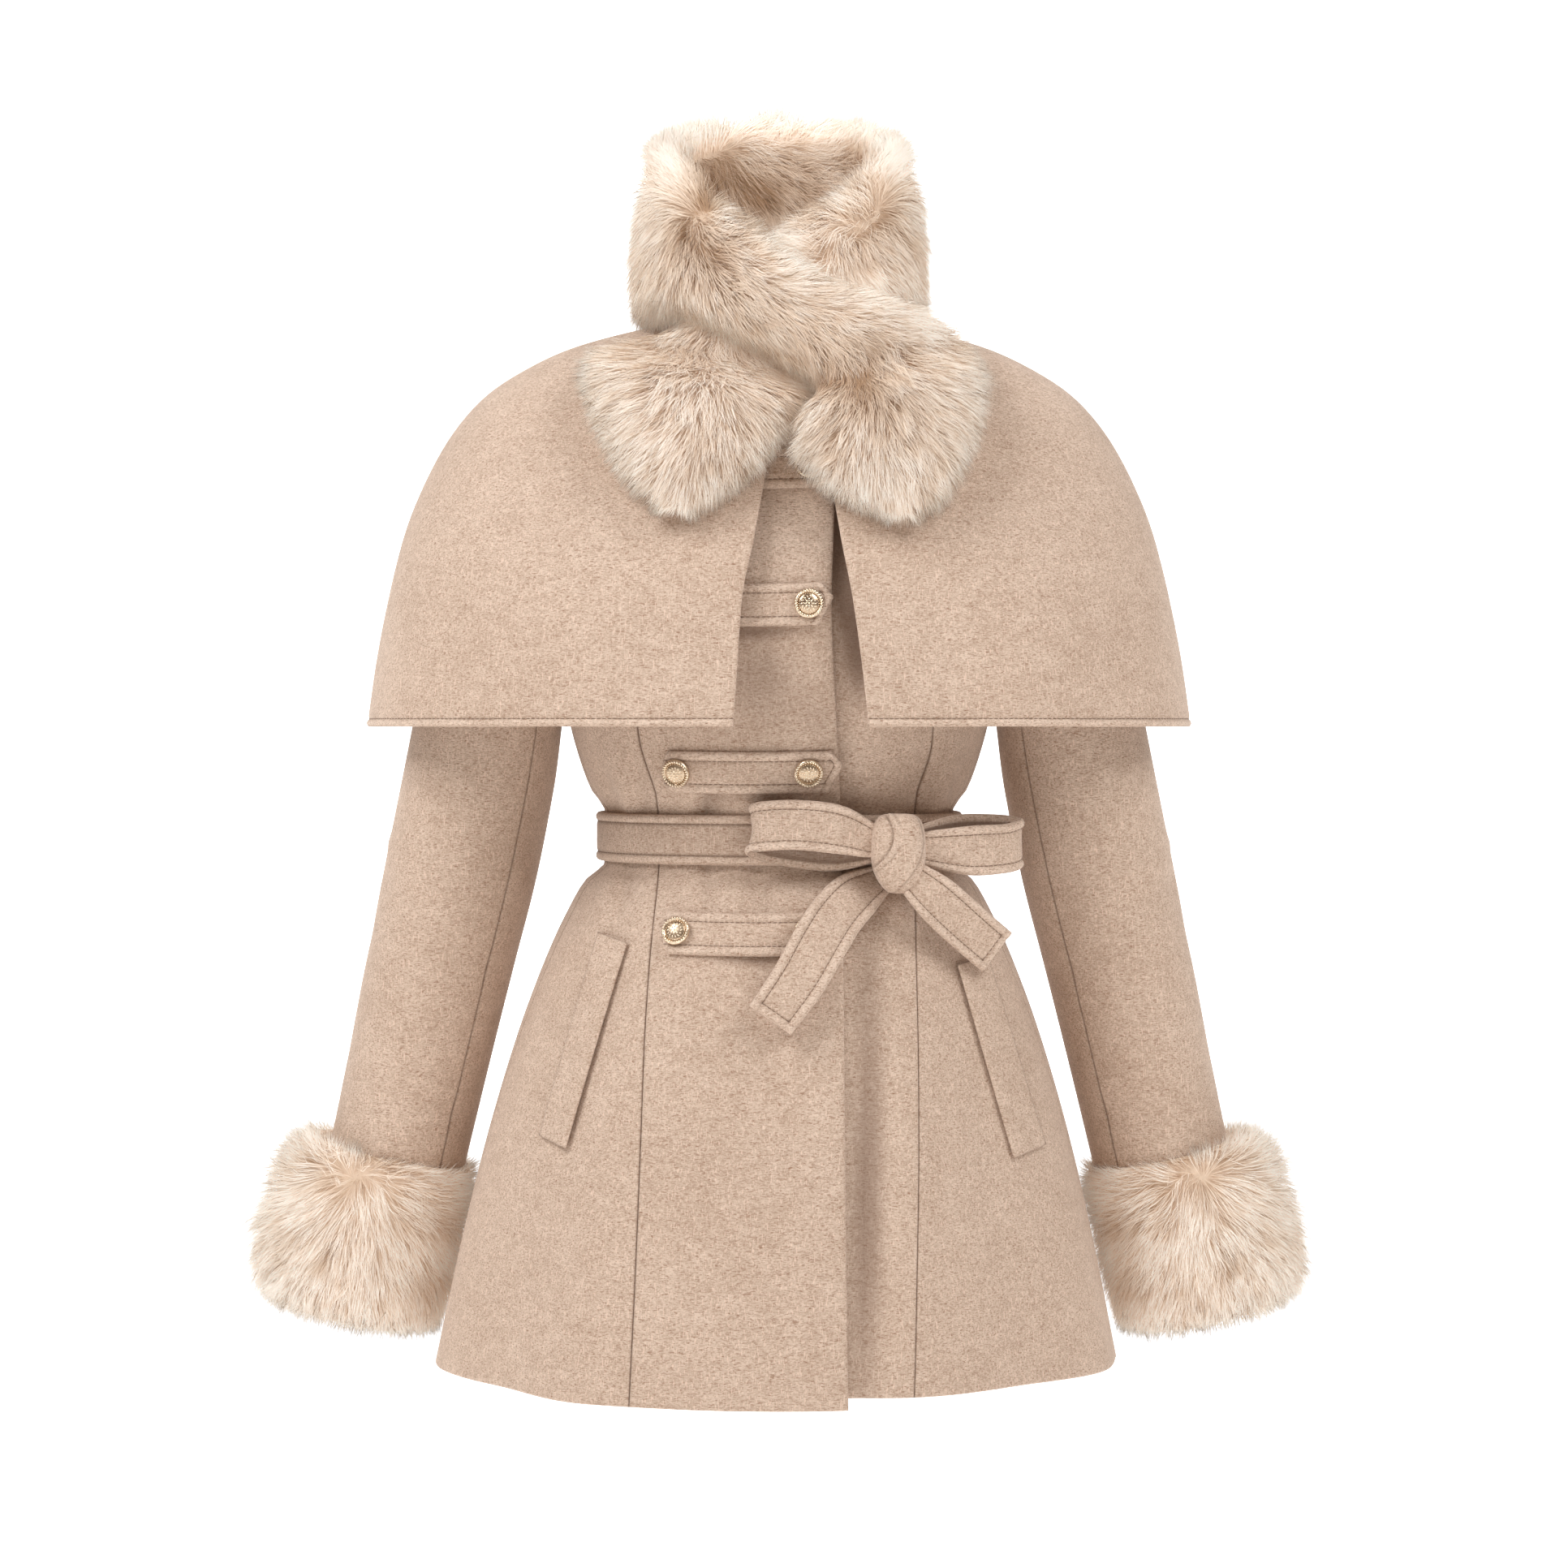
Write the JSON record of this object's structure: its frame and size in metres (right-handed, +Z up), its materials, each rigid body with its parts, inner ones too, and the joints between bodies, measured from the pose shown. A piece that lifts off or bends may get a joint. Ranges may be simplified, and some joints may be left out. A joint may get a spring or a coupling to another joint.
{
  "type": "belted wool coat with shoulder cape and fur trim",
  "caption": "Short belted wool coat with a shoulder cape, faux fur scarf collar and cuffs, button tabs and a tied belt, hollow and standing as if worn.",
  "frame": {"origin": "middle of the neckline at shoulder height, where the wearer's neck and shoulders hold the coat", "axes": "+Z up, the coat's front faces -Y, +X is the wearer's left"},
  "size_m": [0.7406, 0.348, 0.8656],
  "materials": {
    "wool": "felted wool melange, matt",
    "fur": "long soft pile",
    "gold": "gold-coloured metal with a low relief"
  },
  "bodies": {
    "root": {"back": "wool", "belt_band": "wool", "bow_knot": "wool", "bow_loop_left": "wool", "bow_loop_right": "wool", "bow_tail_left": "wool", "bow_tail_right": "wool", "cape_back": "wool", "cape_left_front": "wool", "cape_right_front": "wool", "front_left_centre": "wool", "front_left_side": "wool", "front_right_centre": "wool", "front_right_side": "wool", "pocket_welt_left": "wool", "pocket_welt_right": "wool", "sleeve_left_under": "wool", "sleeve_left_upper": "wool", "sleeve_right_under": "wool", "sleeve_right_upper": "wool", "tab_first": "wool", "tab_fourth": "wool", "tab_second": "wool", "tab_third": "wool", "collar_back": "fur", "collar_over": "fur", "collar_under": "fur", "cuff_left": "fur", "cuff_right": "fur", "button_first_left": "gold", "button_fourth_left": "gold", "button_fourth_right": "gold", "button_second_left": "gold", "button_third_left": "gold", "button_third_right": "gold"}
  },
  "joints": []
}
